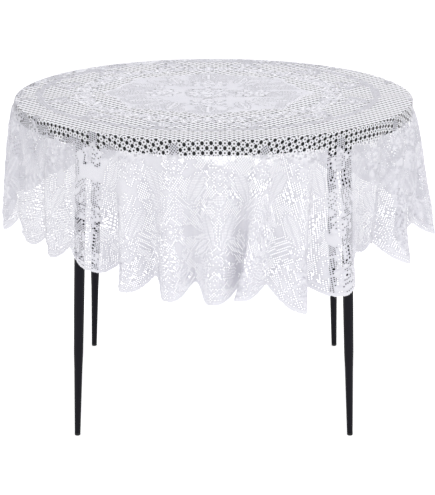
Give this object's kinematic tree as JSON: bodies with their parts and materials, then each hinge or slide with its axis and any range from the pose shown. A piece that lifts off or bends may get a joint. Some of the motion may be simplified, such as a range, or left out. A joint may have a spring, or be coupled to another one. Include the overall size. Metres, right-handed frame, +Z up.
{
  "type": "round table with lace tablecloth",
  "caption": "Round table on splayed tapered legs, with a scalloped round lace tablecloth draped over it.",
  "frame": {"origin": "on the floor under the middle of the table", "axes": "+Z up, +X to the right and -Y towards the viewer"},
  "size_m": [1.082, 1.082, 0.7518],
  "materials": {
    "board": "satin black laminate on board",
    "edge_band": "satin black edge band",
    "leg_steel": "satin black powder coat",
    "screw_steel": "zinc plated",
    "glide_plastic": "moulded black plastic",
    "lace": "white polyester warp-knit lace"
  },
  "bodies": {
    "table": {"tabletop_board": "board", "edge_band": "edge_band", "leg_plate_1": "leg_steel", "leg_tube_1": "leg_steel", "foot_glide_1": "glide_plastic", "plate_screw_1_1": "screw_steel", "plate_screw_1_2": "screw_steel", "plate_screw_1_3": "screw_steel", "plate_screw_1_4": "screw_steel", "leg_plate_2": "leg_steel", "leg_tube_2": "leg_steel", "foot_glide_2": "glide_plastic", "plate_screw_2_1": "screw_steel", "plate_screw_2_2": "screw_steel", "plate_screw_2_3": "screw_steel", "plate_screw_2_4": "screw_steel", "leg_plate_3": "leg_steel", "leg_tube_3": "leg_steel", "foot_glide_3": "glide_plastic", "plate_screw_3_1": "screw_steel", "plate_screw_3_2": "screw_steel", "plate_screw_3_3": "screw_steel", "plate_screw_3_4": "screw_steel", "leg_plate_4": "leg_steel", "leg_tube_4": "leg_steel", "foot_glide_4": "glide_plastic", "plate_screw_4_1": "screw_steel", "plate_screw_4_2": "screw_steel", "plate_screw_4_3": "screw_steel", "plate_screw_4_4": "screw_steel"},
    "cloth": {"cloth_top": "lace", "cloth_skirt": "lace"}
  },
  "joints": [
    {"name": "cloth_lift", "type": "slide", "parent": "table", "child": "cloth", "axis": [0, 0, 1], "range_m": [0, 0.42]}
  ]
}
